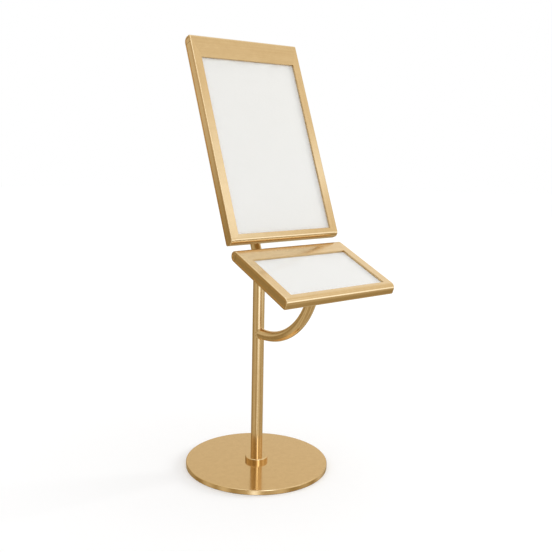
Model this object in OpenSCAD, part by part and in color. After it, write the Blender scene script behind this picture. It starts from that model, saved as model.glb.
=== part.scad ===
// Floor-standing display stand, two sheet panels on one pole: a tall panel that
// leans back, and a wide one below it that slopes to the front on a curved arm.
// Origin: centre of the underside of the base. The panels face -Y, +Z is up.

/* [Base] */
// Diameter of the round base
base_d = 350; // [300:5:420]
// Height of the base, from the floor to its top
base_h = 12; // [11:0.5:20]
// Gap between the floor and the rim of the base cover
base_lift = 1; // [0.5:0.1:2]
// Thickness of the sheet cover over the base weight
cover_t = 1.2; // [0.8:0.1:1.5]
// Outer radius of the rolled rim of the cover
rim_r = 1.8; // [1.6:0.1:4]
// Height to which the rubber pad under the base fills the cover
pad_rise = 0.5; // [0.3:0.1:1]

/* [Pole] */
// Diameter of the pole
pole_d = 29; // [28.6:0.2:38]
// Height of the top of the pole above the floor
pole_top = 478; // [440:1:484]
// Diameter of the collar at the foot of the pole
collar_d = 56; // [46:1:80]
// Height of the collar
collar_h = 10; // [6:1:20]
// Radius of the top edge of the collar
collar_r = 2; // [0.5:0.5:4]
// Diameter of the bolt that holds the pole to the base
bolt_d = 12; // [8:1:14]

/* [Neck] */
// Diameter of the neck tube
neck_d = 25; // [20:0.2:25]
// Wall of the neck tube and of the arm tube
tube_wall = 1.5; // [1:0.1:2.5]
// Height at which the two straight lines of the neck would meet
neck_bend_z = 507; // [500:1:515]
// Radius of the neck's bend, on its centreline
neck_bend_r = 60; // [40:1:80]
// Length of neck inside the pole
neck_socket = 60; // [30:1:90]
// Diameter of the two stand-off tubes behind the upper panel
standoff_d = 20; // [14:1:24]
// Height of the lower stand-off, along the panel from its bottom end
standoff_low = 150; // [90:1:180]
// Height of the upper stand-off, along the panel from its bottom end
standoff_high = 330; // [240:1:360]
// Length of neck above the upper stand-off
neck_over = 28; // [20:1:60]

/* [Arm] */
// Diameter of the arm tube
arm_d = 25; // [20:0.5:28]
// Height of the arm's straight run above the floor
arm_z = 334.5; // [310:0.5:350]
// Distance from the pole's axis to where the arm starts to curve
arm_run = 27; // [20:1:40]
// Radius of the arm's curve, on its centreline
arm_r = 178; // [165:1:190]
// Diameter of the flange on the end of the arm
flange_d = 84; // [70:1:100]
// Diameter of the flange's screw circle
flange_pcd = 62; // [50:1:64]

/* [Panel sections] */
// Thickness of both panels; their round ends take this thickness
panel_t = 25; // [21:0.5:30]
// Thickness of the sheet metal of the casings
sheet_t = 1.2; // [0.8:0.1:1.5]
// Outer radius of the folded side edges
fold_r = 2; // [1.6:0.1:3]
// Outer radius of the tight bends: top front of the upper panel, bottom back of both
bend_r = 5; // [4.6:0.1:9]
// Depth of the folded side edges
fold_lip = 4; // [3.4:0.1:4.5]
// Depth of the folded edge round the window
window_lip = 2.4; // [2:0.1:4]
// Length of the rolled ends along the back of the panel
back_flange = 20; // [14:1:25]
// Width of the groove round each side plate
groove_w = 1.8; // [0.6:0.1:2.6]
// Depth of each side plate below the folded edges
plate_inset = 0.6; // [0.2:0.1:0.8]
// Depth of the round end caps below the centre of the round end
cap_drop = 3; // [1:0.5:6]

/* [Upper panel] */
// Width of the upper panel
up_w = 316; // [250:1:400]
// Height of the upper panel along its slope
up_h = 497; // [410:1:620]
// Width of its side rails
up_side = 21.5; // [16:0.5:40]
// Height of its header rail
up_head = 54; // [44:1:90]
// Height of its bottom rail
up_foot = 21; // [18:0.5:40]
// Lean of the upper panel from upright, in degrees
up_lean = 21; // [12:0.5:25]
// Distance of its bottom front edge in front of the pole's axis
up_front = 108; // [100:1:125]
// Height of its bottom front edge above the floor
up_z = 576; // [570:1:600]

/* [Lower panel] */
// Width of the lower panel
low_w = 313; // [250:1:400]
// Depth of the lower panel along its slope
low_h = 208; // [174:1:260]
// Width of its side rails
low_side = 21.5; // [16:0.5:40]
// Width of its header rail, at the back
low_head = 48; // [44:1:70]
// Width of its front rail
low_foot = 18; // [17.5:0.5:30]
// Slope of the lower panel from level, in degrees
low_slope = 23; // [15:0.5:30]
// Distance of its back top edge in front of the pole's axis
low_front = 107; // [100:1:125]
// Height of its back top edge above the floor
low_z = 565; // [550:1:566]

/* [Pane, sheet and tray] */
// Thickness of the clear pane
pane_t = 2; // [1.5:0.1:3]
// Thickness of the displayed sheet
paper_t = 0.5; // [0.2:0.1:1]
// Thickness of the board behind the sheet
board_t = 3; // [2:0.1:4]
// Overlap of the sheet behind the window's top and side edges
sheet_lap = 3.2; // [2:0.1:3.5]
// Depth of the guide channels
guide_h = 7.2; // [5:0.1:8]
// Thickness of the inner layer of the tray's front plate
front_t = 1.6; // [1:0.1:2]
// Length of the pull slot in the tray's front plate
slot_len = 30; // [20:1:34]
// Width of the pull slot
slot_w = 8; // [6:0.5:9]
// Distance of the casing's stop from the right-hand end
stop_inset = 60; // [40:1:80]

/* [Clearances] */
// Gap between the tray and its guides, on each side
slide_gap = 0.4; // [0.3:0.1:0.6]
// Gap round the moving front plate inside the folded edges
front_gap = 0.4; // [0.3:0.1:0.6]
// Gap at the seam between a side plate and its end cap
seam_gap = 0.6; // [0.3:0.1:1]
// Radial gap of the fixed tube, bolt and screw fits
fit_gap = 0.1; // [0.05:0.05:0.2]

/* [Hidden] */
$fn = 96;
half = panel_t / 2;
eps = 0.01;

// base
cover_in_r = base_d / 2 - cover_t;
weight_z = base_lift + pad_rise;
weight_top = base_h - cover_t;
web_t = 2.5;
washer_t = 1.5;
washer_top = weight_top - web_t;
bolt_head_h = 4;
bolt_head_top = washer_top - washer_t;
washer_r = bolt_d;
plug_h = 32;
bolt_reach = base_h + 28;

// pole and neck
pole_bore_r = neck_d / 2 + fit_gap;
ring_h = 8;
ring_over = 1.5;
neck_foot = pole_top - neck_socket;
bend_start = neck_bend_z - neck_bend_r * tan(up_lean / 2);
cap_t = 3;
cap_spigot = 8;

// where the neck's axis runs, measured in the upper panel's own frame
neck_depth = up_front * cos(up_lean) - (neck_bend_z - up_z) * sin(up_lean);
neck_zero = up_front * sin(up_lean) + (neck_bend_z - up_z) * cos(up_lean);
neck_end = standoff_high + neck_over;

// mount plates and their M5 screws
mount_t = 4;
mount_w = 90;
mount_r = 8;
mount_over = 36;
screw_in = 13;
m5_r = 2.5;
m5_head_r = 4.4;
m5_head_h = 2.8;
m5_nut_r = 4.6;
m5_nut_h = 4;

// the arm ends where its centreline meets the flange's outer face
flange_face = panel_t + mount_t;
arm_rise = sin(low_slope) * (arm_run - low_front)
         + cos(low_slope) * (arm_z + arm_r - low_z) + flange_face;
arm_sweep = acos(arm_rise / arm_r) - low_slope;
arm_end_y = -arm_run - arm_r * sin(arm_sweep);
arm_end_z = arm_z + arm_r * (1 - cos(arm_sweep));
flange_v = low_h + cos(low_slope) * (arm_end_y + low_front)
         + sin(low_slope) * (arm_end_z - low_z);

// depths behind the front face of a panel; the pane bears on the window's edge,
// or on the guides' front legs where those stand deeper
pane_y = max(window_lip, 2 * sheet_t);
paper_y = pane_y + pane_t + 0.3;
board_y = paper_y + paper_t;
tray_back = board_y + board_t;
guide_back = tray_back + slide_gap;
cover_in_y = panel_t - sheet_t;

// height of the guide floors, and how far in from a panel's outline the two
// layers of a side plate and the inner layer of a tray front stop
guide_z = half + 0.2;
plate_inner = fold_r;
plate_outer = fold_lip + groove_w;
front_inner = fold_lip + front_gap;
plate_t = 1;
mitre_end = 0.8;

// tray angles, rivets, stop, and cover screws
angle_len = 30;
angle_inset = 10;
angle_leg = 12;
angle_depth = 7;
rivet_r = 1.5;
rivet_head_r = 2.8;
rivet_head_h = 1;
rivet_grip = 1.6;
tab_x = 20;
tab_z = 30;
tab_len = 16;
tab_depth = 6;
stop_gap = 1;
tongue = 12;
tongue_lap = 6;
tongue_inset = 6;
m3_r = 1.5;
m3_head_r = 2.8;
m3_head_h = 1.8;
m3_len = 6;
cover_screw_inset = 40;

// ---- frames of the two panels -------------------------------------------
// X runs across, Y runs back from the front face, Z runs up the face from
// the panel's bottom end.

module in_upper() {
    $w = up_w;
    $h = up_h;
    $side = up_side;
    $head = up_head;
    $foot = up_foot;
    $top_r = bend_r;
    translate([0, -up_front, up_z]) rotate([-up_lean, 0, 0]) children();
}

module in_lower() {
    $w = low_w;
    $h = low_h;
    $side = low_side;
    $head = low_head;
    $foot = low_foot;
    $top_r = half;
    translate([0, -low_front, low_z]) rotate([low_slope - 90, 0, 0])
        translate([0, 0, -low_h]) children();
}

// ---- general shapes -----------------------------------------------------

module tube(d, wall, length) {
    difference() {
        cylinder(d = d, h = length);
        translate([0, 0, -1]) cylinder(d = d - 2 * wall, h = length + 2);
    }
}

module ring_section(d, wall) {
    difference() {
        circle(d = d);
        circle(d = d - 2 * wall);
    }
}

// a cylinder that runs back through a panel, from depth y0 to y1
module pin(x, z, r, y0, y1, sides = 0) {
    translate([x, y1, z]) rotate([90, 0, 0])
        cylinder(r = r, h = y1 - y0, $fn = sides > 0 ? sides : $fn);
}

// box across a panel, given by its low and high corners
module block(low, high) {
    translate(low) cube(high - low);
}

// a constant section that runs across a panel; its points are [depth, height]
module across_section(x0, x1, points) {
    translate([x0, 0, 0]) rotate([90, 0, 90]) linear_extrude(x1 - x0) polygon(points);
}

// an angle that stands up the panel, from its corner at [x, depth] along two legs
module angle_piece(corner, leg_x, leg_y, z0, length) {
    in_x = sign(leg_x) * sheet_t;
    in_y = sign(leg_y) * sheet_t;
    translate([corner[0], corner[1], z0]) linear_extrude(length)
        polygon([[0, 0], [leg_x, 0], [leg_x, in_y], [in_x, in_y], [in_x, leg_y], [0, leg_y]]);
}

// rectangle with its own radius at each corner, in order from its low corner
// to the right and round; a radius of 0 leaves the corner sharp
module round_rect(low, high, radii) {
    corners = [low, [high[0], low[1]], high, [low[0], high[1]]];
    inward = [[1, 1], [-1, 1], [-1, -1], [1, -1]];
    polygon([for (i = [0 : 3], k = radii[i] > 0 ? [0, 1] : [0])
        corners[i] + radii[i] * ((i + k) % 2 == 0 ? [0, inward[i][1]] : [inward[i][0], 0])]);
    intersection() {
        translate(low) square(high - low);
        for (i = [0 : 3]) if (radii[i] > 0)
            translate(corners[i] + radii[i] * inward[i]) circle(r = radii[i]);
    }
}

// a plate flat on the panel's back, with round corners
module back_plate(wide, z0, z1, r, thick) {
    translate([0, panel_t + thick, 0]) rotate([90, 0, 0]) linear_extrude(thick)
        round_rect([-wide / 2, z0], [wide / 2, z1], [r, r, r, r]);
}

// a plan shape on the panel's face, cut right through its depth
module through_plan(points) {
    translate([0, panel_t + 1, 0]) rotate([90, 0, 0])
        linear_extrude(panel_t + 2) polygon(points);
}

// ---- sheet-metal section and sweeps of the casings ----------------------

// section of a sheet with both side edges folded in; Y is the distance from
// the line that it bends about, and the sheet's outside is at out
module fold_section(out) {
    inner_r = fold_r - sheet_t;
    lip_in = out - fold_lip;
    difference() {
        union() {
            translate([-$w / 2 + fold_r, lip_in]) square([$w - 2 * fold_r, fold_lip]);
            translate([-$w / 2, lip_in]) square([$w, fold_lip - fold_r]);
            for (s = [-1, 1])
                translate([s * ($w / 2 - fold_r), out - fold_r]) circle(r = fold_r);
        }
        translate([-$w / 2 + fold_r, lip_in - 1])
            square([$w - 2 * fold_r, fold_lip + 1 - sheet_t]);
        translate([-$w / 2 + sheet_t, lip_in - 1])
            square([$w - 2 * sheet_t, fold_lip + 1 - fold_r]);
        for (s = [-1, 1])
            translate([s * ($w / 2 - fold_r), out - fold_r]) circle(r = inner_r);
        translate([-$w / 2 - 1, lip_in - fold_r]) square([$w + 2, fold_r]);
    }
}

module straight_skin(z0, z1, turn) {
    translate([0, half, z0]) rotate([0, 0, turn])
        linear_extrude(z1 - z0) fold_section(half);
}

module front_straight(z0, z1) straight_skin(z0, z1, 180);
module back_straight(z0, z1) straight_skin(z0, z1, 0);

// flat strips of the two ends, from depth y0 to y1
module top_flat(y0, y1) {
    translate([0, y1, $h - half]) rotate([90, 0, 0]) linear_extrude(y1 - y0) fold_section(half);
}

module bottom_flat(y0, y1) {
    translate([0, y0, half]) rotate([-90, 0, 0]) linear_extrude(y1 - y0) fold_section(half);
}

// a quarter bend of outside radius out about the line at depth y and height z;
// start is 0 for the top back, 90 top front, 180 bottom front, 270 bottom back
module bend(y, z, out, start) {
    translate([0, y, z]) rotate([90, 0, 90]) rotate([0, 0, start])
        rotate_extrude(angle = 90) rotate([0, 0, -90]) fold_section(out);
}

module window(grow, y0, y1) {
    block([-$w / 2 + $side - grow, y0, $foot - grow],
          [$w / 2 - $side + grow, y1, $h - $head + grow]);
}

// the whole front: face, its bends at both ends, edge round the window
module front_skin() {
    difference() {
        union() {
            front_straight(half, $h - $top_r);
            bend($top_r, $h - $top_r, $top_r, 90);
            bend(half, half, half, 180);
            window(sheet_t, sheet_t / 2, window_lip);
        }
        window(0, -1, window_lip + 1);
    }
}

// mitre lines: through a window corner and just inside the panel's corner,
// carried on a little way past the panel
function past(a, b) = a + (a - b) * 0.1;
function top_in() = [-$w / 2 + $side, $h - $head];
function top_out() = past([-$w / 2 + mitre_end, $h], top_in());
function low_in() = [-$w / 2 + $side, $foot];
function low_out() = past([-$w / 2 + mitre_end, 0], low_in());
function across(p) = [-p[0], p[1]];

module side_rail() {
    wide = -$w / 2 - $side;
    intersection() {
        front_skin();
        through_plan([top_out(), top_in(), low_in(), low_out(),
                      [wide, low_out()[1]], [wide, top_out()[1]]]);
    }
}

module header_rail() {
    difference() {
        union() {
            intersection() {
                front_skin();
                through_plan([top_out(), top_in(), across(top_in()), across(top_out())]);
            }
            if ($top_r < half) top_flat($top_r, half);
            bend(half, $h - half, half, 0);
            back_straight($h - half - back_flange, $h - half);
        }
        cover_screw_holes();
    }
}

module bottom_rail() {
    difference() {
        union() {
            intersection() {
                front_skin();
                through_plan([low_out(), low_in(), across(low_in()), across(low_out())]);
            }
            bottom_flat(half, panel_t - bend_r);
            bend(panel_t - bend_r, bend_r, bend_r, 270);
            back_straight(bend_r, half + back_flange);
        }
        cover_screw_holes();
    }
}

// ---- back cover and its screws ------------------------------------------

function cover_screw_z() = [half + back_flange - tongue / 2,
                            $h - half - back_flange + tongue / 2];
function cover_screw_x() = [-$w / 2 + cover_screw_inset, 0, $w / 2 - cover_screw_inset];

module at_cover_screws() {
    for (x = cover_screw_x(), z = cover_screw_z()) translate([x, 0, z]) children();
}

module cover_screw_holes() {
    at_cover_screws() pin(0, 0, m3_r + fit_gap, panel_t - m3_len, panel_t + 1);
}

module cover_screw_set() {
    at_cover_screws() difference() {
        union() {
            pin(0, 0, m3_r, panel_t - m3_len, panel_t);
            pin(0, 0, m3_head_r, panel_t, panel_t + m3_head_h);
        }
        pin(0, 0, m3_r * 0.7, panel_t + m3_head_h / 2, panel_t + m3_head_h + 1, 6);
    }
}

module back_cover() {
    z0 = half + back_flange;
    z1 = $h - half - back_flange;
    x1 = $w / 2 - tongue_inset;
    difference() {
        union() {
            back_straight(z0, z1);
            block([-x1, cover_in_y - sheet_t, z0 - tongue], [x1, cover_in_y, z0 + tongue_lap]);
            block([-x1, cover_in_y - sheet_t, z1 - tongue_lap], [x1, cover_in_y, z1 + tongue]);
        }
        cover_screw_holes();
        children();
    }
}

// ---- side plates and end caps -------------------------------------------

// outline of a side plate, which stops that far inside the panel's own outline
module plate_outline(inset) {
    r = half - inset;
    round_rect([-r, inset], [r, plate_top()], [r, max(bend_r - inset, 0), 0, 0]);
}

module cap_outline(inset) {
    r = half - inset;
    round_rect([-r, $h - half - cap_drop], [r, $h - inset], [0, 0, r, max($top_r - inset, 0)]);
}

// stand an outline across the panel's left end, from x0 inward
module end_layer(x0, thick) {
    translate([x0, half, 0]) rotate([90, 0, 90]) linear_extrude(thick) children();
}

function plate_top() = $h - half - cap_drop - seam_gap;

module side_plate() {
    end_layer(-$w / 2 + plate_inset, sheet_t - plate_inset + eps) plate_outline(plate_outer);
    end_layer(-$w / 2 + sheet_t, plate_t) plate_outline(plate_inner);
}

module end_cap() {
    end_layer(-$w / 2 + plate_inset, sheet_t - plate_inset + eps) cap_outline(plate_outer);
    end_layer(-$w / 2 + sheet_t, plate_t) cap_outline(plate_inner);
}

module end_cap_pair() {
    end_cap();
    mirror([1, 0, 0]) end_cap();
}

// ---- guides, pane, sheet ------------------------------------------------

function inner_left() = -$w / 2 + sheet_t + plate_t;
function front_in_x() = $w / 2 - sheet_t - front_t;
function guide_right() = front_in_x() - slide_gap;
function guide_floor() = guide_z + sheet_t;
function guide_roof() = $h - $head + guide_h;

// the lower guide is a U whose front leg lies on the bottom rail; the upper one
// is its mirror, on the header
module guide_pair() {
    front = sheet_t;
    back = guide_back + sheet_t;
    low = guide_z;
    high = guide_roof() + sheet_t;
    across_section(inner_left(), guide_right(), [
        [front, low], [back, low], [back, low + guide_h], [guide_back, low + guide_h],
        [guide_back, guide_floor()], [front + sheet_t, guide_floor()],
        [front + sheet_t, $foot - sheet_t], [front, $foot - sheet_t]]);
    across_section(inner_left(), guide_right(), [
        [front, high], [back, high], [back, high - guide_h], [guide_back, high - guide_h],
        [guide_back, guide_roof()], [front + sheet_t, guide_roof()],
        [front + sheet_t, high - guide_h], [front, high - guide_h]]);
}

module pane() {
    block([inner_left(), pane_y, guide_floor()],
          [guide_right(), pane_y + pane_t, guide_roof() - fit_gap]);
}

// the displayed sheet stands on the guide's floor and laps the window's other edges
module paper() {
    x1 = $w / 2 - $side + sheet_lap;
    block([-x1, paper_y, guide_floor() + slide_gap], [x1, board_y, $h - $head + sheet_lap]);
}

// ---- sliding tray -------------------------------------------------------

function angle_z() = [$foot + angle_inset, $h - $head - angle_inset - angle_len];
function rivet_x() = front_in_x() - angle_leg / 2 - sheet_t / 2;

module at_rivets() {
    for (z = angle_z()) translate([rivet_x(), 0, z + angle_len / 2]) children();
}

module board() {
    difference() {
        block([-$w / 2 + sheet_t + plate_t + slide_gap, board_y, guide_floor() + slide_gap],
              [front_in_x(), tray_back, guide_roof() - slide_gap]);
        at_rivets() pin(0, 0, rivet_r + fit_gap, tray_back - rivet_grip, tray_back + 1);
    }
}

// the right-hand side plate is the front of the tray, with a slot to pull it
module tray_front() {
    mid = ($foot + $h - $head) / 2;
    reach = (slot_len - slot_w) / 2;
    difference() {
        mirror([1, 0, 0]) union() {
            end_layer(-$w / 2 + plate_inset, sheet_t - plate_inset + eps)
                plate_outline(plate_outer);
            end_layer(-$w / 2 + sheet_t, front_t) plate_outline(front_inner);
        }
        end_layer($w / 2 - sheet_t - front_t - 1, sheet_t + front_t + 2) {
            translate([-slot_w / 2, mid - reach]) square([slot_w, 2 * reach]);
            for (s = [-1, 1]) translate([0, mid + s * reach]) circle(d = slot_w);
        }
    }
}

module tray_angle_pair() {
    difference() {
        for (z = angle_z())
            angle_piece([front_in_x(), tray_back], -angle_leg, angle_depth, z, angle_len);
        at_rivets() pin(0, 0, rivet_r + fit_gap, tray_back - 1, tray_back + sheet_t + 1);
    }
}

module tray_rivet_pair() {
    top = tray_back + sheet_t;
    at_rivets() {
        pin(0, 0, rivet_r, tray_back - rivet_grip, top + eps);
        pin(0, 0, rivet_head_r, top, top + rivet_head_h);
    }
}

// stop tab at the tail of the tray, and the angle in the casing that it meets
module tray_tab() {
    angle_piece([-$w / 2 + tab_x, tray_back], -angle_leg, tab_depth, $foot + tab_z, tab_len);
}

module stop_angle() {
    angle_piece([$w / 2 - stop_inset, cover_in_y], angle_leg, tray_back + sheet_t + stop_gap - cover_in_y,
                $foot + tab_z, tab_len);
}

// ---- screws that carry the panels ---------------------------------------

module at_upper_screws() {
    for (x = [-1, 1], z = [standoff_low - mount_over + screw_in,
                           standoff_high + mount_over - screw_in])
        translate([x * (mount_w / 2 - screw_in), 0, z]) children();
}

module at_lower_screws() {
    for (a = [45, 135, 225, 315])
        translate([cos(a) * flange_pcd / 2, 0, flange_v + sin(a) * flange_pcd / 2]) children();
}

module m5_hole() {
    pin(0, 0, m5_r + fit_gap, cover_in_y - 1, panel_t + mount_t + 1);
}

module m5_screw() {
    head_y = panel_t + mount_t;
    difference() {
        union() {
            pin(0, 0, m5_r, cover_in_y - m5_nut_h, head_y);
            pin(0, 0, m5_head_r, head_y, head_y + m5_head_h);
        }
        pin(0, 0, m5_r * 0.7, head_y + m5_head_h / 2, head_y + m5_head_h + 1, 6);
    }
}

module m5_nut() {
    difference() {
        pin(0, 0, m5_nut_r, cover_in_y - m5_nut_h, cover_in_y, 6);
        pin(0, 0, m5_r + fit_gap, cover_in_y - m5_nut_h - 1, cover_in_y + 1);
    }
}

// ---- base ---------------------------------------------------------------

module base_cover() {
    color("goldenrod") rotate_extrude() difference() {
        union() {
            translate([0, base_lift]) square([base_d / 2, base_h - base_lift - rim_r]);
            translate([0, base_lift]) square([base_d / 2 - rim_r, base_h - base_lift]);
            translate([base_d / 2 - rim_r, base_h - rim_r]) circle(r = rim_r);
        }
        translate([-1, base_lift - 1]) square([cover_in_r + 1, weight_top - base_lift + 1]);
        translate([-1, base_lift]) square([bolt_d / 2 + fit_gap + 1, base_h]);
    }
}

module base_weight() {
    color("dimgray") difference() {
        translate([0, 0, weight_z]) cylinder(r = cover_in_r - fit_gap, h = weight_top - weight_z);
        cylinder(r = bolt_d / 2 + fit_gap, h = base_h);
        cylinder(r = washer_r + 1, h = washer_top);
    }
}

// one disc under the whole weight; it stands proud of the cover's rim
module base_pad() {
    color("black") cylinder(r = cover_in_r - fit_gap, h = weight_z);
}

module base_bolt() {
    color("silver") {
        translate([0, 0, bolt_head_top - bolt_head_h])
            cylinder(r = bolt_d * 0.87, h = bolt_head_h, $fn = 6);
        translate([0, 0, bolt_head_top - eps]) cylinder(d = bolt_d, h = bolt_reach - bolt_head_top);
    }
}

module base_washer() {
    color("silver") translate([0, 0, bolt_head_top]) difference() {
        cylinder(r = washer_r, h = washer_t);
        translate([0, 0, -1]) cylinder(r = bolt_d / 2 + fit_gap, h = washer_t + 2);
    }
}

// ---- pole, neck and arm -------------------------------------------------

module pole_plug() {
    color("silver") translate([0, 0, base_h]) difference() {
        cylinder(r = pole_bore_r - fit_gap, h = plug_h);
        translate([0, 0, -1]) cylinder(r = bolt_d / 2 + fit_gap, h = plug_h + 2);
    }
}

module foot_collar() {
    r = collar_d / 2;
    color("goldenrod") translate([0, 0, base_h]) rotate_extrude() difference() {
        union() {
            square([r, collar_h - collar_r]);
            square([r - collar_r, collar_h]);
            translate([r - collar_r, collar_h - collar_r]) circle(r = collar_r);
        }
        translate([-1, -1]) square([pole_d / 2 + fit_gap + 1, collar_h + 2]);
    }
}

module pole() {
    color("gold") translate([0, 0, base_h]) difference() {
        cylinder(d = pole_d, h = pole_top - base_h);
        translate([0, 0, -1]) cylinder(r = pole_bore_r, h = pole_top - base_h + 2);
    }
}

// turned ring that closes the top of the pole round the neck
module pole_ring() {
    color("goldenrod") translate([0, 0, pole_top]) difference() {
        union() {
            cylinder(d = pole_d + 2 * ring_over, h = ring_h - ring_over);
            translate([0, 0, ring_h - ring_over])
                cylinder(d1 = pole_d + 2 * ring_over, d2 = pole_d, h = ring_over);
        }
        translate([0, 0, -1]) cylinder(r = pole_bore_r, h = ring_h + 2);
    }
}

// spigot and bend of the neck: plugs into the top of the pole
module neck_elbow() {
    color("gold") translate([0, neck_bend_r, bend_start]) {
        rotate([90, 0, -90]) rotate_extrude(angle = up_lean)
            translate([neck_bend_r, 0]) ring_section(neck_d, tube_wall);
        translate([0, -neck_bend_r, neck_foot - bend_start])
            tube(neck_d, tube_wall, bend_start - neck_foot);
    }
}

// straight leaned length of the neck, butt-welded to the bend
module neck_tube() {
    bent_from = neck_zero + neck_bend_r * tan(up_lean / 2);
    color("gold") translate([0, neck_bend_r, bend_start])
        rotate([-up_lean, 0, 0]) translate([0, -neck_bend_r, 0])
            tube(neck_d, tube_wall, neck_end - bent_from);
}

module neck_cap() {
    color("goldenrod") in_upper() translate([0, neck_depth, neck_end]) {
        cylinder(d1 = neck_d, d2 = neck_d - 2, h = cap_t);
        translate([0, 0, -cap_spigot])
            cylinder(r = neck_d / 2 - tube_wall - fit_gap, h = cap_spigot + eps);
    }
}

// two short tubes coped onto the neck, square to the upper panel's back
module standoff_tubes() {
    face = panel_t + mount_t;
    color("gold") in_upper() difference() {
        for (z = [standoff_low, standoff_high]) translate([0, neck_depth, z]) rotate([90, 0, 0])
            tube(standoff_d, tube_wall, neck_depth - face);
        translate([0, neck_depth, 0]) cylinder(d = neck_d, h = neck_end + 1);
    }
}

module upper_mount_plate() {
    color("goldenrod") in_upper() difference() {
        back_plate(mount_w, standoff_low - mount_over, standoff_high + mount_over, mount_r, mount_t);
        at_upper_screws() m5_hole();
    }
}

module arm_tube() {
    color("gold") difference() {
        union() {
            translate([0, 0, arm_z]) rotate([90, 0, 0]) tube(arm_d, tube_wall, arm_run);
            translate([0, -arm_run, arm_z + arm_r]) rotate([0, 90, 180])
                rotate_extrude(angle = arm_sweep + 12) translate([arm_r, 0])
                    ring_section(arm_d, tube_wall);
        }
        translate([0, 0, arm_z - arm_d]) cylinder(d = pole_d, h = 2 * arm_d);
        in_lower() block([-arm_d, flange_face - 3 * arm_d, flange_v - 2 * arm_d],
                         [arm_d, flange_face, flange_v + 2 * arm_d]);
    }
}

module arm_flange() {
    color("goldenrod") in_lower() difference() {
        pin(0, flange_v, flange_d / 2, panel_t, flange_face);
        at_lower_screws() m5_hole();
    }
}

module upper_mount_screws() {
    color("silver") in_upper() at_upper_screws() m5_screw();
}

module upper_mount_nuts() {
    color("silver") in_upper() at_upper_screws() m5_nut();
}

module lower_mount_screws() {
    color("silver") in_lower() at_lower_screws() m5_screw();
}

module lower_mount_nuts() {
    color("silver") in_lower() at_lower_screws() m5_nut();
}

// ---- upper panel --------------------------------------------------------

module upper_header() {
    color("gold") in_upper() header_rail();
}

module upper_bottom_rail() {
    color("gold") in_upper() bottom_rail();
}

module upper_left_rail() {
    color("goldenrod") in_upper() side_rail();
}

module upper_right_rail() {
    color("goldenrod") in_upper() mirror([1, 0, 0]) side_rail();
}

module upper_side_plate() {
    color("darkgoldenrod") in_upper() side_plate();
}

module upper_end_caps() {
    color("darkgoldenrod") in_upper() end_cap_pair();
}

module upper_back_cover() {
    color("gold") in_upper() back_cover() at_upper_screws() m5_hole();
}

module upper_cover_screws() {
    color("silver") in_upper() cover_screw_set();
}

module upper_guides() {
    color("silver") in_upper() guide_pair();
}

module upper_stop() {
    color("silver") in_upper() stop_angle();
}

module upper_pane() {
    color("lightblue", 0.3) in_upper() pane();
}

module upper_sheet() {
    color("white") in_upper() paper();
}

module upper_board() {
    color("gray") in_upper() board();
}

module upper_tray_front() {
    color("darkgoldenrod") in_upper() tray_front();
}

module upper_tray_angles() {
    color("silver") in_upper() tray_angle_pair();
}

module upper_tray_rivets() {
    color("silver") in_upper() tray_rivet_pair();
}

module upper_tray_tab() {
    color("silver") in_upper() tray_tab();
}

// ---- lower panel --------------------------------------------------------

module lower_header() {
    color("gold") in_lower() header_rail();
}

module lower_front_rail() {
    color("gold") in_lower() bottom_rail();
}

module lower_left_rail() {
    color("goldenrod") in_lower() side_rail();
}

module lower_right_rail() {
    color("goldenrod") in_lower() mirror([1, 0, 0]) side_rail();
}

module lower_side_plate() {
    color("darkgoldenrod") in_lower() side_plate();
}

module lower_end_caps() {
    color("darkgoldenrod") in_lower() end_cap_pair();
}

module lower_back_cover() {
    color("gold") in_lower() back_cover() at_lower_screws() m5_hole();
}

module lower_cover_screws() {
    color("silver") in_lower() cover_screw_set();
}

module lower_guides() {
    color("silver") in_lower() guide_pair();
}

module lower_stop() {
    color("silver") in_lower() stop_angle();
}

module lower_pane() {
    color("lightblue", 0.3) in_lower() pane();
}

module lower_sheet() {
    color("white") in_lower() paper();
}

module lower_board() {
    color("gray") in_lower() board();
}

module lower_tray_front() {
    color("darkgoldenrod") in_lower() tray_front();
}

module lower_tray_angles() {
    color("silver") in_lower() tray_angle_pair();
}

module lower_tray_rivets() {
    color("silver") in_lower() tray_rivet_pair();
}

module lower_tray_tab() {
    color("silver") in_lower() tray_tab();
}

// ---- the nodes ----------------------------------------------------------

base_cover();
base_weight();
base_pad();
base_bolt();
base_washer();
pole_plug();
foot_collar();
pole();
pole_ring();
neck_elbow();
neck_tube();
neck_cap();
standoff_tubes();
upper_mount_plate();
upper_mount_screws();
upper_mount_nuts();
arm_tube();
arm_flange();
lower_mount_screws();
lower_mount_nuts();
upper_header();
upper_bottom_rail();
upper_left_rail();
upper_right_rail();
upper_side_plate();
upper_end_caps();
upper_back_cover();
upper_cover_screws();
upper_guides();
upper_stop();
upper_pane();
upper_sheet();
upper_board();
upper_tray_front();
upper_tray_angles();
upper_tray_rivets();
upper_tray_tab();
lower_header();
lower_front_rail();
lower_left_rail();
lower_right_rail();
lower_side_plate();
lower_end_caps();
lower_back_cover();
lower_cover_screws();
lower_guides();
lower_stop();
lower_pane();
lower_sheet();
lower_board();
lower_tray_front();
lower_tray_angles();
lower_tray_rivets();
lower_tray_tab();
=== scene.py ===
"""Two-tier display stand in brushed brass: materials, paper, welds, light and camera."""
import math

import bmesh
import bpy
from mathutils import Matrix, Vector


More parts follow.
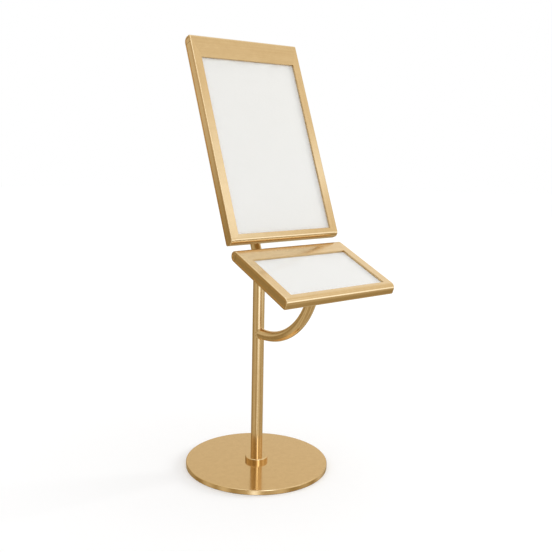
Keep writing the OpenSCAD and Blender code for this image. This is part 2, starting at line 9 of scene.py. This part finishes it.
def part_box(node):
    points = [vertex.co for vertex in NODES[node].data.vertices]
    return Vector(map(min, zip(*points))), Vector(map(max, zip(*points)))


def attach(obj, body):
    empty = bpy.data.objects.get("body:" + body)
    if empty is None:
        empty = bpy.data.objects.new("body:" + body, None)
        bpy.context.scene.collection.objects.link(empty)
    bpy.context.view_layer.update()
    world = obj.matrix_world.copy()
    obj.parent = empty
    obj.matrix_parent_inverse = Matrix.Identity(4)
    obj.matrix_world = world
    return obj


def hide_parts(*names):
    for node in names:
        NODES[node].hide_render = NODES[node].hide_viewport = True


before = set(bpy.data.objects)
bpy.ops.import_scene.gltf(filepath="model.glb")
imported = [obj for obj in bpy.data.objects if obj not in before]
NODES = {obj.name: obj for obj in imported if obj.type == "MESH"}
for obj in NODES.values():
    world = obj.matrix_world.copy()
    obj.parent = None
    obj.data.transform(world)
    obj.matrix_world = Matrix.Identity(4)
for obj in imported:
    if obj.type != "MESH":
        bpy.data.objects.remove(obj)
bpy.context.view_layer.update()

SCENE = bpy.context.scene

# camera, in degrees and metres
CAMERA_AZIMUTH = -37.42
CAMERA_DROP = 6.98
CAMERA_ROLL = 0.86
CAMERA_DISTANCE = 1.8393
CAMERA_TARGET_Z = 0.6
CAMERA_ASIDE = -0.0071
CAMERA_ABOVE = -0.0304
SENSOR = 36.0
LENS = 49.9
SHIFT_X = 0.0348
SHIFT_Y = -0.07

# floor: its radius, its own colour, its glow under the object, and how the glow rises
# from one distance to another
FLOOR_R = 12
FLOOR_SHADE = 0.8
FLOOR_GLOW = 0.19
FLOOR_LIFT = ((0.3, 1.3, 0.035), (2.0, 9.0, 0.05))

# key lamp: azimuth, height, distance, side and watts
KEY_AZIMUTH = 75
KEY_HEIGHT = 1.9
KEY_DISTANCE = 6.0
KEY_SIDE = 1.8
KEY_WATTS = 170
KEY_AIM = (0, 0, 0.55)

# studio: how bright it is by direction, azimuth 0 in front and positive to the right
DOME_LOW = 0.63
DOME_HIGH = 1.09
HORIZON_DEPTH = ((-180, 0.2), (-147, 3), (-125, 1), (-90, 4), (-30, 8), (20, 8), (70, 8),
                 (100, 6), (150, 0.2), (180, 0.2))
HORIZON_BLUR = 4.5
WALL_TOP = 29.8
WALL_BLUR = 5
SKY_LEVELS = ((-180, 0.80), (-125, 0.80), (-60, 0.95), (0, 1.0), (40, 0.93), (85, 1.0),
              (118, 1.08), (145, 0.83), (180, 0.80))
WALL_LEVELS = ((-180, 0.38), (-163, 0.45), (-150, 0.75), (-137, 0.76), (-125, 0.62), (-113, 0.68),
               (-100, 0.50), (-86, 0.64), (-70, 0.38), (-50, 0.42), (-32, 0.70), (0, 0.70), (20, 0.85),
               (38, 1.10), (51, 0.88), (66, 0.80), (85, 0.90), (110, 0.88), (138, 0.82), (152, 0.78),
               (180, 0.35))
GROUND_LEVELS = ((-180, 0.45), (-160, 0.46), (-148, 0.38), (-138, 0.38), (-127, 0.64), (-116, 0.72),
                 (-104, 0.48), (-90, 0.85), (-74, 0.44), (-58, 0.62), (-48, 0.45), (-32, 0.50),
                 (5, 0.80), (22, 0.40), (48, 0.62), (66, 0.40), (84, 0.78), (110, 0.45),
                 (150, 0.60), (180, 0.40))

# soft light patches: centre and size in degrees (azimuth, elevation), and level
PATCHES = (((-16, 40), (10, 22), 2.6), ((-26, -8), (17, 7.5), 1.55), ((-21, 16), (12, 7), 1.05),
           ((-40, -30), (9, 9), 1.3), ((0, 85), (400, 22), 0.9), ((37, 31.9), (10, 5.5), 0.33),
           ((50, 28.2), (8, 2), 0.32), ((44, -3), (28, 8), 0.7))

# colour of the studio's light by its level, up to TINT_TOP
TINT_TOP = 4.0
ROOM_TINT = ((0.0, (0, 0, 0)), (0.35, (0.35, 0.27, 0.14)), (0.5, (0.50, 0.42, 0.27)),
             (0.7, (0.70, 0.64, 0.52)), (0.85, (0.86, 0.79, 0.665)), (1.0, (1.0, 0.96, 0.90)),
             (1.15, (1.15, 1.2, 1.32)), (2.0, (2.0, 2.35, 3.1)), (4.0, (4.0, 4.7, 6.2)))

# lean of the two panels about X, in degrees, as their faces stand
UPPER_LEAN = -21.0
LOWER_LEAN = -67.0

# paper: its thickness, the gap kept on each face, the height of its waves and their grid
PAPER_T = 0.0005
PAPER_GAP = 0.00012
PAPER_WAVE = 0.0001
PAPER_GRID = (56, 80)

# painted shade on the paper: its grey, how far the painted shade of its waves reaches down from its top and
# in from its right edge, and the reach and width of the painted shade at its curled corner
PAPER_SHADOW = (0.63, 0.61, 0.57)
WAVE_SHADE_DEPTH = 0.011
EDGE_SHADE_REACH = 0.007
CURL_SHADE_REACH = 0.034
CURL_SHADE_WIDTH = 0.004

# the arm's bend, in metres: radius, tube, and how far in front of the pole's axis it starts
ARM_R = 0.178
ARM_D = 0.025
ARM_RUN = -0.027

# size of the arm's weld, how far it stands off the tubes, and its steps round the seam
WELD = 0.002
WELD_SKIM = 0.00005
WELD_STEPS = 96

# thickness of the lining at the window's edge
BEAD_T = 0.0003


# ---- node helpers ---------------------------------------------------------

def new_material(name):
    """An empty node material: (material, its node tree, its output node)."""
    mat = bpy.data.materials.new(name)
    mat.use_nodes = True
    tree = mat.node_tree
    tree.nodes.clear()
    return mat, tree, tree.nodes.new("ShaderNodeOutputMaterial")


def add(tree, kind, **settings):
    """A node with its plain properties set."""
    node = tree.nodes.new("ShaderNode" + kind)
    for key, value in settings.items():
        setattr(node, key, value)
    return node


def put(tree, value, socket):
    """Links a socket to another, or sets a plain value on it."""
    if isinstance(value, bpy.types.NodeSocket):
        tree.links.new(value, socket)
    else:
        socket.default_value = value


def maths(tree, operation, *values):
    node = add(tree, "Math", operation=operation)
    for i, value in enumerate(values):
        put(tree, value, node.inputs[i])
    return node.outputs[0]


def spread(tree, value, low, high, to_low, to_high):
    """value from low..high mapped to to_low..to_high, clamped."""
    node = add(tree, "MapRange", clamp=True)
    for i, v in enumerate((value, low, high, to_low, to_high)):
        put(tree, v, node.inputs[i])
    return node.outputs[0]


def blend(tree, factor, a, b):
    node = add(tree, "Mix", data_type="FLOAT")
    put(tree, factor, node.inputs[0])
    put(tree, a, node.inputs[2])
    put(tree, b, node.inputs[3])
    return node.outputs[0]


def ramp(tree, value, stops):
    """A colour ramp through (place, colour) stops."""
    node = add(tree, "ValToRGB")
    bar = node.color_ramp
    for element, (place, colour) in zip(bar.elements, (stops[0], stops[-1])):
        element.position = place
        element.color = (*colour, 1)
    for place, colour in stops[1:-1]:
        bar.elements.new(place).color = (*colour, 1)
    put(tree, value, node.inputs[0])
    return node.outputs[0]


def noise(tree, vector, scale, detail=2.0, rough=0.5):
    node = add(tree, "TexNoise")
    put(tree, vector, node.inputs["Vector"])
    node.inputs["Scale"].default_value = scale
    node.inputs["Detail"].default_value = detail
    node.inputs["Roughness"].default_value = rough
    return node.outputs["Fac"]


def mix_colour(tree, factor, a, b):
    node = add(tree, "Mix", data_type="RGBA")
    put(tree, factor, node.inputs[0])
    put(tree, a if isinstance(a, bpy.types.NodeSocket) else (*a, 1), node.inputs[6])
    put(tree, b if isinstance(b, bpy.types.NodeSocket) else (*b, 1), node.inputs[7])
    return node.outputs[2]


def turned(tree, lean, stretch):
    """Object coordinates in a panel's own frame, stretched along the brushing."""
    coords = add(tree, "TexCoord").outputs["Object"]
    turn = add(tree, "VectorRotate", rotation_type="X_AXIS")
    put(tree, coords, turn.inputs["Vector"])
    turn.inputs["Angle"].default_value = math.radians(-lean)
    scale = add(tree, "Mapping", vector_type="POINT")
    put(tree, turn.outputs[0], scale.inputs["Vector"])
    scale.inputs["Scale"].default_value = stretch
    return scale.outputs[0]


def bump(tree, height, distance, strength):
    node = add(tree, "Bump")
    put(tree, height, node.inputs["Height"])
    node.inputs["Distance"].default_value = distance
    node.inputs["Strength"].default_value = strength
    return node.outputs["Normal"]


def panel_axes(lean):
    """Across, depth and up-the-face directions of a panel."""
    turn = Matrix.Rotation(math.radians(lean), 3, "X")
    return turn @ Vector((1, 0, 0)), turn @ Vector((0, 1, 0)), turn @ Vector((0, 0, 1))


# ---- brass ----------------------------------------------------------------

BRASS_LIGHT = (0.775, 0.572, 0.308)
BRASS_MID = (0.72, 0.52, 0.27)
BRASS_DEEP = (0.665, 0.468, 0.232)
# painted shade: headers and bottom and front rails get a darker copy of the side rails' brass, standing in
# for the less light they reflect
ACROSS_PAINTED_SHADE = {"upper": (0.95, 0.95, 0.95), "lower": (0.99, 0.99, 0.99)}
# painted shade: the neck tube gets a darker copy of the brass, as if shaded by the panels
NECK_PAINTED_SHADE = (0.93, 0.93, 0.93)
FOOT_SHADE = (1.0, 0.975, 0.92)
TUBE_ROUGH = 0.14
GRAIN_SCALE = 1400
BAND_SCALE = 260
CLOUD_SCALE = 70
GRAIN_TILT = 0.02


def axis(tree, vector):
    """A constant direction."""
    node = add(tree, "CombineXYZ")
    for socket, value in zip(node.inputs, vector):
        socket.default_value = value
    return node.outputs[0]


def cross(tree, a, b):
    node = add(tree, "VectorMath", operation="CROSS_PRODUCT")
    put(tree, a, node.inputs[0])
    put(tree, b, node.inputs[1])
    return node.outputs[0]


def across_grain(tree, lean, along):
    """Direction on the surface that light spreads in: square to the brushing."""
    axes = panel_axes(lean)
    grain = axes["xyz".index(along) if along in "xyz" else 2]
    grain = grain + (axes[0] + axes[1] + axes[2]) * GRAIN_TILT
    if along == "ring":
        return axis(tree, grain)
    return cross(tree, add(tree, "NewGeometry").outputs["True Normal"], axis(tree, grain))


def spun(centre):
    """The brushing of a piece spun about an axis through centre."""
    return lambda tree: from_point(tree, centre)


def from_point(tree, centre):
    """Direction on the surface away from a point: square to the brushing of a spun piece."""
    away = add(tree, "VectorMath", operation="SUBTRACT")
    put(tree, add(tree, "TexCoord").outputs["Object"], away.inputs[0])
    away.inputs[1].default_value = centre
    return away.outputs[0]


def brass(name, lean=0.0, along="z", rough=0.2, stretch=0.7, tangent=None, shade=(1, 1, 1)):
    """Brushed brass whose grain runs along one axis of a panel's frame, or round a tube;
    "flat" is a satin without a direction."""
    mat, tree, out = new_material(name)
    fine = {"x": (0.02, 1, 1), "y": (1, 0.02, 1), "z": (1, 1, 0.02),
            "ring": (1, 1, 0.02), "flat": (1, 1, 1)}[along]
    grain = noise(tree, turned(tree, lean, fine), GRAIN_SCALE, 3, 0.6)
    bands = noise(tree, turned(tree, lean, fine), BAND_SCALE, 2, 0.5)
    cloud = noise(tree, turned(tree, lean, (1, 1, 1)), CLOUD_SCALE, 4, 0.6)
    tone = maths(tree, "ADD", maths(tree, "MULTIPLY", bands, 0.5),
                 maths(tree, "MULTIPLY", cloud, 0.5))
    tones = [tuple(s * c for s, c in zip(shade, metal))
             for metal in (BRASS_DEEP, BRASS_MID, BRASS_LIGHT)]
    colour = ramp(tree, tone, list(zip((0.22, 0.5, 0.78), tones)))
    shader = add(tree, "BsdfPrincipled")
    put(tree, colour, shader.inputs["Base Color"])
    shader.inputs["Metallic"].default_value = 1.0
    shader.inputs["Anisotropic"].default_value = stretch
    put(tree, spread(tree, bands, 0.3, 0.7, rough - 0.03, rough + 0.04), shader.inputs["Roughness"])
    put(tree, bump(tree, grain, 0.0002, 0.07), shader.inputs["Normal"])
    put(tree, tangent(tree) if tangent else across_grain(tree, lean, along), shader.inputs["Tangent"])
    put(tree, shader.outputs[0], out.inputs[0])
    return mat


def along_arm(tree):
    """Direction of the arm's centreline: square to the line from the bend's centre."""
    low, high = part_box("arm_tube")
    centre = Vector((0, ARM_RUN, low[2] + ARM_R + ARM_D / 2))
    return cross(tree, from_point(tree, centre), axis(tree, (1, 0, 0)))


# ---- other materials ------------------------------------------------------

def paper(tier, lean):
    """White paper with painted shade: grey waves below its top edge, a grey band along its right edge and a
    grey crescent at its curled corner.
    """
    mat, tree, out = new_material(f"{tier}_paper")
    coords = add(tree, "TexCoord").outputs["Object"]
    fibre = noise(tree, coords, 900, 4, 0.6)
    cloud = noise(tree, coords, 14, 2, 0.5)
    white = mix_colour(tree, cloud, (0.876, 0.869, 0.836), (0.896, 0.889, 0.858))
    across, depth, up = panel_axes(lean)
    points = [v.co for v in NODES[f"{tier}_sheet"].data.vertices]
    top = max(p.dot(up) for p in points)
    right = max(p.dot(across) for p in points)
    place = add(tree, "SeparateXYZ")
    put(tree, turned(tree, lean, (1, 1, 1)), place.inputs[0])
    below = maths(tree, "SUBTRACT", top, place.outputs[2])
    left_of = maths(tree, "SUBTRACT", right, place.outputs[0])
    waves = noise(tree, turned(tree, lean, (1, 1, 2.2)), 26, 2, 0.5)
    near_top = maths(tree, "EXPONENT", maths(tree, "MULTIPLY", below, -1 / WAVE_SHADE_DEPTH))
    wave = maths(tree, "MULTIPLY", near_top, spread(tree, waves, 0.35, 0.62, 0, 0.55))
    reach = maths(tree, "ADD", maths(tree, "MULTIPLY", below, 1.6), left_of)
    off_curl = maths(tree, "DIVIDE", maths(tree, "SUBTRACT", reach, CURL_SHADE_REACH), CURL_SHADE_WIDTH)
    curl_shade = maths(tree, "EXPONENT", maths(tree, "MULTIPLY", maths(tree, "MULTIPLY", off_curl, off_curl), -1))
    right_edge_shade = maths(tree, "EXPONENT", maths(tree, "MULTIPLY", left_of, -1 / EDGE_SHADE_REACH))
    curl_and_edge_shade = maths(tree, "ADD", maths(tree, "MULTIPLY", curl_shade, 0.25), maths(tree, "MULTIPLY", right_edge_shade, 0.4))
    # painted shade: the grey of the waves below the top edge, of the curled corner and along the right edge
    # is mixed into the paper's colour
    shadow = maths(tree, "MINIMUM", maths(tree, "ADD", wave, curl_and_edge_shade), 0.6)
    colour = mix_colour(tree, shadow, white, PAPER_SHADOW)
    shader = add(tree, "BsdfPrincipled")
    put(tree, colour, shader.inputs["Base Color"])
    shader.inputs["Roughness"].default_value = 0.85
    put(tree, bump(tree, fibre, 0.0001, 0.2), shader.inputs["Normal"])
    put(tree, shader.outputs[0], out.inputs[0])
    return mat


def clear_pane():
    """Thin clear acrylic: lets light straight through, with a faint gloss."""
    mat, tree, out = new_material("clear_pane")
    coords = add(tree, "TexCoord").outputs["Object"]
    through = add(tree, "BsdfTransparent")
    through.inputs["Color"].default_value = (0.99, 0.99, 0.99, 1)
    gloss = add(tree, "BsdfGlossy")
    gloss.inputs["Color"].default_value = (1, 1, 1, 1)
    put(tree, spread(tree, noise(tree, coords, 30, 2), 0.3, 0.7, 0.06, 0.12), gloss.inputs["Roughness"])
    edge = add(tree, "Fresnel")
    edge.inputs["IOR"].default_value = 1.3
    front = maths(tree, "SUBTRACT", 1, add(tree, "NewGeometry").outputs["Backfacing"])
    both = add(tree, "MixShader")
    put(tree, maths(tree, "MULTIPLY", edge.outputs[0], front), both.inputs[0])
    put(tree, through.outputs[0], both.inputs[1])
    put(tree, gloss.outputs[0], both.inputs[2])
    put(tree, both.outputs[0], out.inputs[0])
    return mat


def plain_metal(name, colour, rough, scale=600):
    mat, tree, out = new_material(name)
    coords = add(tree, "TexCoord").outputs["Object"]
    grain = noise(tree, coords, scale, 3, 0.6)
    cloud = noise(tree, coords, 40, 2, 0.5)
    dark = tuple(c * 0.86 for c in colour)
    shader = add(tree, "BsdfPrincipled")
    put(tree, mix_colour(tree, cloud, dark, colour), shader.inputs["Base Color"])
    shader.inputs["Metallic"].default_value = 1.0
    put(tree, spread(tree, grain, 0.3, 0.7, rough - 0.06, rough + 0.08), shader.inputs["Roughness"])
    put(tree, bump(tree, grain, 0.0001, 0.15), shader.inputs["Normal"])
    put(tree, shader.outputs[0], out.inputs[0])
    return mat


def matte(name, colour, rough, scale, depth):
    mat, tree, out = new_material(name)
    coords = add(tree, "TexCoord").outputs["Object"]
    grain = noise(tree, coords, scale, 4, 0.6)
    light = tuple(min(1, c * 1.15) for c in colour)
    shader = add(tree, "BsdfPrincipled")
    put(tree, mix_colour(tree, grain, colour, light), shader.inputs["Base Color"])
    shader.inputs["Roughness"].default_value = rough
    put(tree, bump(tree, grain, depth, 0.4), shader.inputs["Normal"])
    put(tree, shader.outputs[0], out.inputs[0])
    return mat


def paint(nodes, material):
    for name in nodes:
        slots = NODES[name].material_slots
        for slot in slots:
            slot.material = material


def paint_all():
    for tier, lean in (("upper", UPPER_LEAN), ("lower", LOWER_LEAN)):
        rails = brass(f"brass_{tier}_along", lean, "z", 0.12, 0.3)
        # painted shade: this copy of the brass is darkened for the headers and the bottom and front rails
        across = brass(f"brass_{tier}_across", lean, "x", 0.11, 0.3, shade=ACROSS_PAINTED_SHADE[tier])
        foot = "bottom_rail" if tier == "upper" else "front_rail"
        paint([f"{tier}_{n}" for n in ("left_rail", "right_rail", "side_plate",
                                       "tray_front", "back_cover")], rails)
        low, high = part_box(f"{tier}_end_caps")
        caps = brass(f"brass_{tier}_caps", lean, "z", 0.16, 0.8, spun((low + high) / 2))
        paint([f"{tier}_end_caps"], caps)
        paint([f"{tier}_header", f"{tier}_{foot}"], across)
        paint([f"{tier}_pane"], clear_pane())
        paint([f"{tier}_board"], matte("grey_board", (0.32, 0.30, 0.27), 0.9, 500, 0.0002))
        inner = plain_metal(f"{tier}_inner_aluminium", (0.80, 0.81, 0.82), 0.35)
        paint([f"{tier}_{n}" for n in ("guides", "stop", "tray_angles", "tray_rivets", "tray_tab")], inner)
        zinc = plain_metal(f"{tier}_zinc", (0.62, 0.63, 0.65), 0.3)
        paint([f"{tier}_{n}" for n in ("cover_screws", "mount_screws", "mount_nuts")], zinc)
    paint(["pole", "pole_ring", "neck_elbow"], brass("brass_pole", 0, "ring", TUBE_ROUGH))
    # painted shade: the neck's brass is darkened as if in the panels' shadow
    paint(["neck_tube", "neck_cap"], brass("brass_neck", UPPER_LEAN, "ring", TUBE_ROUGH, shade=NECK_PAINTED_SHADE))
    paint(["arm_tube"], brass("brass_arm", 0, "ring", TUBE_ROUGH, tangent=along_arm))
    paint(["standoff_tubes"], brass("brass_standoff", UPPER_LEAN, "y", 0.15))
    paint(["upper_mount_plate"], brass("brass_plate", UPPER_LEAN, "z"))
    paint(["arm_flange"], brass("brass_flange", LOWER_LEAN, "z"))
    paint(["foot_collar", "base_cover"], brass("brass_foot", 0, "flat", 0.13, 0.0, shade=FOOT_SHADE))
    paint(["base_weight"], matte("painted_iron", (0.03, 0.03, 0.032), 0.6, 300, 0.0003))
    paint(["base_pad"], matte("pad_rubber", (0.02, 0.02, 0.02), 0.8, 700, 0.0002))
    paint(["base_bolt", "base_washer", "pole_plug"], plain_metal("zinc", (0.62, 0.63, 0.65), 0.3))


# ---- pieces made here -----------------------------------------------------

def piece_from(name, verts, faces, material):
    mesh = bpy.data.meshes.new(name)
    mesh.from_pydata([tuple(v) for v in verts], [], faces)
    mesh.update()
    obj = bpy.data.objects.new(name, mesh)
    SCENE.collection.objects.link(obj)
    mesh.materials.append(material)
    for polygon in mesh.polygons:
        polygon.use_smooth = True
    return obj


def sheet_of_paper(tier, lean, material):
    """The blank sheet, with the slight waves of paper held at its edges."""
    obj = NODES[f"{tier}_sheet"]
    across, depth, up = panel_axes(lean)
    points = [v.co for v in obj.data.vertices]
    xs = [p.dot(across) for p in points]
    ys = [p.dot(depth) for p in points]
    zs = [p.dot(up) for p in points]
    x0, x1, y0, z0, z1 = min(xs), max(xs), min(ys), min(zs), max(zs)
    wide, high = PAPER_GRID
    verts, faces = [], []
    for side in (0, 1):
        for j in range(high + 1):
            for i in range(wide + 1):
                u, v = i / wide, j / high
                wave = PAPER_WAVE * math.sin(7 * u + 2.2 * v) * math.exp(-((1 - v) / 0.2) ** 2)
                y = y0 + PAPER_GAP + wave + side * (PAPER_T - 2 * PAPER_GAP)
                verts.append(across * (x0 + (x1 - x0) * u) + depth * y + up * (z0 + (z1 - z0) * v))
    row = wide + 1
    count = row * (high + 1)
    for j in range(high):
        for i in range(wide):
            a = j * row + i
            faces.append((a, a + 1, a + row + 1, a + row))
            faces.append((count + a, count + a + row, count + a + row + 1, count + a + 1))
    rim = ([i for i in range(row)] + [j * row + wide for j in range(1, high + 1)]
           + [high * row + i for i in range(wide - 1, -1, -1)]
           + [j * row for j in range(high - 1, 0, -1)])
    for a, b in zip(rim, rim[1:] + rim[:1]):
        faces.append((b, a, count + a, count + b))
    sheet = piece_from(f"{tier}_paper", verts, faces, material)
    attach(sheet, f"{tier}_tray")
    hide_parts(f"{tier}_sheet")


def window_rect(tier, lean):
    """A panel's face depth and the window's edges: left, right, low, high, in its own frame."""
    across, depth, up = panel_axes(lean)
    low_rail = "upper_bottom_rail" if tier == "upper" else "lower_front_rail"
    face = min(v.co.dot(depth) for v in NODES[f"{tier}_left_rail"].data.vertices)

    def places(node, way):
        points = [v.co for v in NODES[node].data.vertices]
        return [p.dot(way) for p in points if p.dot(depth) < face + 0.003]

    return (face, max(places(f"{tier}_left_rail", across)), min(places(f"{tier}_right_rail", across)),
            max(places(low_rail, up)), min(places(f"{tier}_header", up)))


def window_bead(tier, lean, material):
    """Thin strip that lines the window's edge back to the sheet."""
    across, depth, up = panel_axes(lean)
    face, left, right, low, high = window_rect(tier, lean)
    sheet = min(v.co.dot(depth) for v in NODES[f"{tier}_sheet"].data.vertices)
    verts, faces = [], []
    for y in (face + BEAD_T, sheet - BEAD_T / 2):
        for grow in (-BEAD_T / 2, BEAD_T / 2):
            for x, z in ((left - grow, low - grow), (right + grow, low - grow),
                         (right + grow, high + grow), (left - grow, high + grow)):
                verts.append(across * x + depth * y + up * z)
    for i in range(4):
        j = (i + 1) % 4
        faces += [(i, j, 8 + j, 8 + i), (4 + j, 4 + i, 12 + i, 12 + j),
                  (i, 4 + i, 4 + j, j), (8 + j, 12 + j, 12 + i, 8 + i)]
    bead = piece_from(f"{tier}_window_bead", verts, faces, material)
    for polygon in bead.data.polygons:
        polygon.use_smooth = False
    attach(bead, "stand")


def arm_weld(material):
    """The ground-down weld where the arm's tube meets the front of the pole."""
    pole_low, pole_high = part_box("pole")
    pole_r = (pole_high.x - pole_low.x) / 2
    arm_r = ARM_D / 2
    arm_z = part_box("arm_tube")[0].z + arm_r
    rows = ([], [], [])
    for i in range(WELD_STEPS):
        angle = 2 * math.pi * i / WELD_STEPS
        side, lift = math.cos(angle), math.sin(angle)
        seam_x = arm_r * side
        wide = min(arm_r + WELD, pole_r * 0.995)
        on_pole_x = wide * side
        seam = Vector((seam_x, -math.sqrt(pole_r ** 2 - seam_x ** 2), arm_z + arm_r * lift))
        on_pole = Vector((on_pole_x, -math.sqrt(pole_r ** 2 - on_pole_x ** 2) - WELD_SKIM,
                          arm_z + wide * lift))
        on_arm = seam + Vector((WELD_SKIM * side, -WELD, WELD_SKIM * lift))
        rows[0].append(on_pole)
        rows[1].append((on_pole + on_arm) * 0.35 + seam * 0.3)
        rows[2].append(on_arm)
    verts = rows[0] + rows[1] + rows[2]
    faces = [(k * WELD_STEPS + i, k * WELD_STEPS + (i + 1) % WELD_STEPS,
              (k + 1) * WELD_STEPS + (i + 1) % WELD_STEPS, (k + 1) * WELD_STEPS + i)
             for k in (0, 1) for i in range(WELD_STEPS)]
    weld = piece_from("arm_weld", verts, faces, material)
    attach(weld, "stand")


# ---- stage, light and camera ----------------------------------------------

def floor():
    mesh = bpy.data.meshes.new("floor")
    form = bmesh.new()
    bmesh.ops.create_circle(form, cap_ends=True, radius=FLOOR_R, segments=64)
    form.to_mesh(mesh)
    form.free()
    obj = bpy.data.objects.new("floor", mesh)
    SCENE.collection.objects.link(obj)
    mat, tree, out = new_material("floor")
    shade = add(tree, "BsdfDiffuse")
    shade.inputs["Color"].default_value = (FLOOR_SHADE, FLOOR_SHADE, FLOOR_SHADE, 1)
    glow = add(tree, "Emission")
    path = add(tree, "LightPath")
    seen = maths(tree, "MAXIMUM", path.outputs["Is Camera Ray"], path.outputs["Is Diffuse Ray"])
    away = add(tree, "VectorMath", operation="LENGTH")
    put(tree, add(tree, "TexCoord").outputs["Object"], away.inputs[0])
    level = FLOOR_GLOW
    for near, far, lift in FLOOR_LIFT:
        level = maths(tree, "ADD", spread(tree, away.outputs["Value"], near, far, 0, lift), level)
    put(tree, maths(tree, "MULTIPLY", seen, level), glow.inputs["Strength"])
    both = add(tree, "AddShader")
    put(tree, shade.outputs[0], both.inputs[0])
    put(tree, glow.outputs[0], both.inputs[1])
    clear = add(tree, "MixShader")
    put(tree, path.outputs["Is Glossy Ray"], clear.inputs[0])
    put(tree, both.outputs[0], clear.inputs[1])
    put(tree, add(tree, "BsdfTransparent").outputs[0], clear.inputs[2])
    put(tree, clear.outputs[0], out.inputs[0])
    mesh.materials.append(mat)


def key_lamp():
    """A square soft lamp; azimuth 0 is straight in front, positive to the right."""
    light = bpy.data.lights.new("key", "AREA")
    light.shape = "RECTANGLE"
    light.size = light.size_y = KEY_SIDE
    light.energy = KEY_WATTS
    obj = bpy.data.objects.new("key", light)
    a = math.radians(KEY_AZIMUTH)
    obj.location = (KEY_DISTANCE * math.sin(a), -KEY_DISTANCE * math.cos(a), KEY_HEIGHT)
    way = Vector(KEY_AIM) - obj.location
    obj.rotation_euler = way.to_track_quat("-Z", "Y").to_euler()
    obj.visible_glossy = False
    SCENE.collection.objects.link(obj)


def dial(tree, angle, stops):
    """A level that goes round the horizon through (degrees, level) stops."""
    place = spread(tree, angle, -math.pi, math.pi, 0, 1)
    grey = [((degrees + 180) / 360, (level, level, level)) for degrees, level in stops]
    return ramp(tree, place, grey)


def patch(tree, azimuth, rise, centre, size, level):
    """A soft oval light patch in the sky, centre and size in degrees (azimuth, elevation)."""
    across = maths(tree, "DIVIDE", maths(tree, "SUBTRACT", azimuth, math.radians(centre[0])),
                   math.radians(size[0]))
    upward = maths(tree, "DIVIDE", maths(tree, "SUBTRACT", rise, math.radians(centre[1])),
                   math.radians(size[1]))
    far = maths(tree, "ADD", maths(tree, "MULTIPLY", across, across), maths(tree, "MULTIPLY", upward, upward))
    return maths(tree, "MULTIPLY", maths(tree, "EXPONENT", maths(tree, "MULTIPLY", far, -1.0)), level)


def room(tree):
    """What the metal sees: a studio by direction, light above and dim near the floor."""
    parts = add(tree, "SeparateXYZ")
    put(tree, add(tree, "TexCoord").outputs["Generated"], parts.inputs[0])
    x, y, z = parts.outputs
    azimuth = maths(tree, "ARCTAN2", x, maths(tree, "MULTIPLY", y, -1.0))
    rise = maths(tree, "ARCSINE", z)
    sky = dial(tree, azimuth, SKY_LEVELS)
    wall = dial(tree, azimuth, WALL_LEVELS)
    ground = dial(tree, azimuth, GROUND_LEVELS)
    over = maths(tree, "ADD", maths(tree, "DEGREES", rise), dial(tree, azimuth, HORIZON_DEPTH))
    above = spread(tree, over, -HORIZON_BLUR, HORIZON_BLUR, 0, 1)
    higher = spread(tree, maths(tree, "DEGREES", rise), WALL_TOP - WALL_BLUR, WALL_TOP + WALL_BLUR, 0, 1)
    level = blend(tree, above, ground, blend(tree, higher, wall, sky))
    for centre, size, height in PATCHES:
        level = maths(tree, "ADD", level, patch(tree, azimuth, rise, centre, size, height))
    return ramp(tree, maths(tree, "DIVIDE", level, TINT_TOP),
                [(v / TINT_TOP, colour) for v, colour in ROOM_TINT])


def surroundings():
    """White to the camera, a studio to the metal, and an even dome for what is matt."""
    world = bpy.data.worlds.new("studio")
    world.use_nodes = True
    SCENE.world = world
    tree = world.node_tree
    tree.nodes.clear()
    out = tree.nodes.new("ShaderNodeOutputWorld")
    path = add(tree, "LightPath")
    height = add(tree, "SeparateXYZ")
    put(tree, add(tree, "TexCoord").outputs["Generated"], height.inputs[0])
    dome = mix_colour(tree, spread(tree, height.outputs[2], 0, 1, 0, 1), (DOME_LOW,) * 3, (DOME_HIGH,) * 3)
    dome = mix_colour(tree, path.outputs["Is Camera Ray"], dome, (1, 1, 1))
    colour = mix_colour(tree, path.outputs["Is Glossy Ray"], dome, room(tree))
    back = add(tree, "Background")
    put(tree, colour, back.inputs["Color"])
    put(tree, back.outputs[0], out.inputs[0])


def camera():
    azimuth, drop = math.radians(CAMERA_AZIMUTH), math.radians(CAMERA_DROP)
    back = Vector((math.sin(azimuth) * math.cos(drop), -math.cos(azimuth) * math.cos(drop), math.sin(drop)))
    level = (-back).cross(Vector((0, 0, 1))).normalized()
    rise = level.cross(-back)
    roll = math.radians(CAMERA_ROLL)
    right = level * math.cos(roll) + rise * math.sin(roll)
    up = rise * math.cos(roll) - level * math.sin(roll)
    target = Vector((0, 0, CAMERA_TARGET_Z)) + level * CAMERA_ASIDE + rise * CAMERA_ABOVE
    data = bpy.data.cameras.new("camera")
    data.sensor_width = SENSOR
    data.lens = LENS
    data.shift_x = SHIFT_X
    data.shift_y = SHIFT_Y
    obj = bpy.data.objects.new("camera", data)
    place = Matrix((right, up, back)).transposed().to_4x4()
    place.translation = target + back * CAMERA_DISTANCE
    obj.matrix_world = place
    SCENE.collection.objects.link(obj)
    SCENE.camera = obj


camera()
floor()
surroundings()
key_lamp()
paint_all()
sheet_of_paper("upper", UPPER_LEAN, paper("upper", UPPER_LEAN))
sheet_of_paper("lower", LOWER_LEAN, paper("lower", LOWER_LEAN))
window_bead("upper", UPPER_LEAN, brass("brass_upper_bead", UPPER_LEAN, "flat", 0.3, 0.0))
window_bead("lower", LOWER_LEAN, brass("brass_lower_bead", LOWER_LEAN, "flat", 0.3, 0.0))
arm_weld(NODES["pole"].material_slots[0].material)
SCENE.view_settings.view_transform = "Standard"
